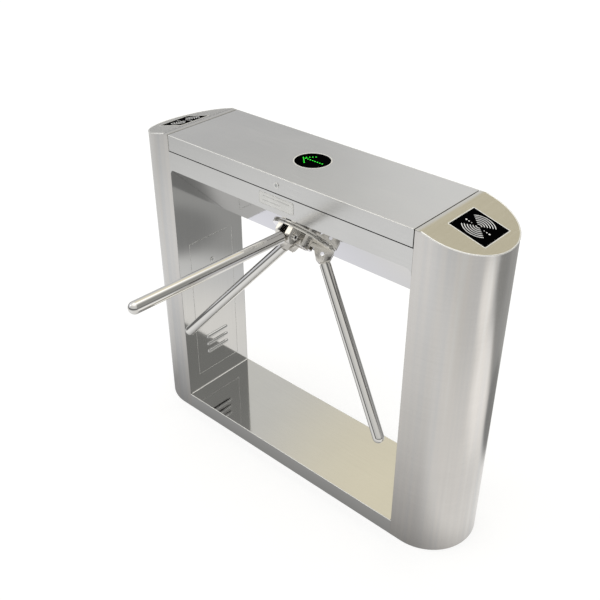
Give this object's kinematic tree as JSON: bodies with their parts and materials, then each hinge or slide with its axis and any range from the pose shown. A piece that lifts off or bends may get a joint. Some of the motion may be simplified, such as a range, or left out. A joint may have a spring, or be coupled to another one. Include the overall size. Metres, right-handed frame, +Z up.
{
  "type": "visitor counter turnstile",
  "caption": "Bridge-style tripod turnstile: round-ended stainless cabinet, sloping underside with a three-arm hub and drop-down barrier arm, hinged cover, service doors and sloping reader caps.",
  "frame": {"origin": "on the floor, at the centre of the cabinet footprint", "axes": "+X along the cabinet, -Y towards the side that the arms reach over, +Z up"},
  "size_m": [1.2, 0.7744, 0.99],
  "materials": {
    "satin_sheet": "fine satin brushed stainless sheet",
    "cover_sheet": "long-grain brushed stainless sheet, grain along X",
    "cast_steel": "satin cast stainless",
    "polished_tube": "mirror polished stainless tube",
    "bright_fitting": "bright turned fitting",
    "zinc_plated": "zinc plated steel",
    "bearing_steel": "ground bearing steel",
    "black_gloss": "black gloss acrylic",
    "black_plastic": "black moulded plastic",
    "seal_rubber": "black EPDM",
    "lamp_green": "lit green lamp",
    "circuit_board": "green solder mask",
    "cream_ring": "cream satin ring"
  },
  "bodies": {
    "cabinet": {"base_plate": "zinc_plated", "cable_grommet": "seal_rubber", "left_end_wrap": "satin_sheet", "right_end_wrap": "satin_sheet", "front_beam_panel": "satin_sheet", "back_beam_panel": "satin_sheet", "sill_channel": "satin_sheet", "underside_panel": "satin_sheet", "left_jamb_panel": "satin_sheet", "right_jamb_panel": "satin_sheet", "left_reader_cap": "satin_sheet", "right_reader_cap": "satin_sheet", "reader_windows": "black_gloss", "reader_modules": "circuit_board", "name_plate": "satin_sheet", "cover_seal": "seal_rubber", "cabinet_hinge_leaves": "zinc_plated", "cover_hinge_pins": "bright_fitting", "chassis_plate": "zinc_plated", "mechanism_studs": "zinc_plated", "bearing_housing": "cast_steel", "main_bearings": "bearing_steel", "rear_plate": "zinc_plated", "plate_standoffs": "zinc_plated", "solenoid_bodies": "black_plastic", "position_sensor": "black_plastic", "control_board": "circuit_board", "power_supply": "zinc_plated", "pass_counter": "black_plastic"},
    "rotor": {"main_shaft": "zinc_plated", "rotor_disc": "cast_steel", "tripod_hub": "cast_steel", "lock_disc": "zinc_plated", "sensor_disc": "black_plastic", "swing_arm_tubes": "polished_tube", "swing_arm_tongues": "cast_steel", "arm_pivot_bushes": "cast_steel", "barrier_pivot_bolt": "bright_fitting"},
    "barrier_arm": {"barrier_arm_tube": "polished_tube", "barrier_arm_tongue": "cast_steel"},
    "top_cover": {"top_cover": "cover_sheet", "cover_hinge_leaves": "zinc_plated", "led_housing": "black_plastic", "led_board": "circuit_board", "led_bezel": "cream_ring", "led_window": "black_gloss", "led_lamps": "lamp_green", "cover_lock_body": "bright_fitting"},
    "cover_lock": {"cover_lock_cam": "zinc_plated"},
    "left_door": {"left_service_door": "satin_sheet", "left_door_lock": "bright_fitting"},
    "left_door_cam": {"left_door_cam": "zinc_plated"},
    "right_door": {"right_service_door": "satin_sheet", "right_door_lock": "bright_fitting"},
    "right_door_cam": {"right_door_cam": "zinc_plated"},
    "left_pawl": {"left_pawl": "zinc_plated"},
    "right_pawl": {"right_pawl": "zinc_plated"},
    "left_plunger": {"left_plunger": "bright_fitting"},
    "right_plunger": {"right_plunger": "bright_fitting"}
  },
  "joints": [
    {"name": "rotor_spin", "type": "hinge", "parent": "cabinet", "child": "rotor", "pos_m": [0, -0.033, 0.779], "axis": [0, -0.7071, -0.7071], "continuous": true},
    {"name": "barrier_arm_drop", "type": "hinge", "parent": "rotor", "child": "barrier_arm", "pos_m": [0, -0.09947, 0.81082], "axis": [1, 0, 0], "range_deg": [0, 90]},
    {"name": "cover_hinge", "type": "hinge", "parent": "cabinet", "child": "top_cover", "pos_m": [0, 0.1412, 0.9405], "axis": [-1, 0, 0], "range_deg": [0, 80]},
    {"name": "cover_lock_turn", "type": "hinge", "parent": "top_cover", "child": "cover_lock", "pos_m": [-0.003, -0.1375, 0.965], "axis": [0, -1, 0], "range_deg": [0, 90]},
    {"name": "left_door_tilt", "type": "hinge", "parent": "cabinet", "child": "left_door", "pos_m": [-0.42575, 0, 0.1132], "axis": [0, 1, 0], "range_deg": [0, 20]},
    {"name": "left_door_lock_turn", "type": "hinge", "parent": "left_door", "child": "left_door_cam", "pos_m": [-0.425, 0, 0.527], "axis": [1, 0, 0], "range_deg": [0, 90]},
    {"name": "right_door_tilt", "type": "hinge", "parent": "cabinet", "child": "right_door", "pos_m": [0.42575, 0, 0.1132], "axis": [0, -1, 0], "range_deg": [0, 20]},
    {"name": "right_door_lock_turn", "type": "hinge", "parent": "right_door", "child": "right_door_cam", "pos_m": [0.425, 0, 0.527], "axis": [-1, 0, 0], "range_deg": [0, 90]},
    {"name": "left_plunger_slide", "type": "slide", "parent": "cabinet", "child": "left_plunger", "axis": [1, 0, 0], "range_m": [0, 0.0059], "stiffness_N_per_m": 600},
    {"name": "left_pawl_swing", "type": "hinge", "parent": "cabinet", "child": "left_pawl", "pos_m": [-0.07, -0.00472, 0.75072], "axis": [0, 0.7071, 0.7071], "range_deg": [0, 6.5]},
    {"name": "right_plunger_slide", "type": "slide", "parent": "cabinet", "child": "right_plunger", "axis": [-1, 0, 0], "range_m": [0, 0.0059], "stiffness_N_per_m": 600},
    {"name": "right_pawl_swing", "type": "hinge", "parent": "cabinet", "child": "right_pawl", "pos_m": [0.07, -0.00472, 0.75072], "axis": [0, -0.7071, -0.7071], "range_deg": [0, 6.5]}
  ],
  "couplings": [
    {"joint": "left_pawl_swing", "follows": "left_plunger_slide", "rad_per_m": 19.2},
    {"joint": "right_pawl_swing", "follows": "right_plunger_slide", "rad_per_m": 19.2}
  ]
}
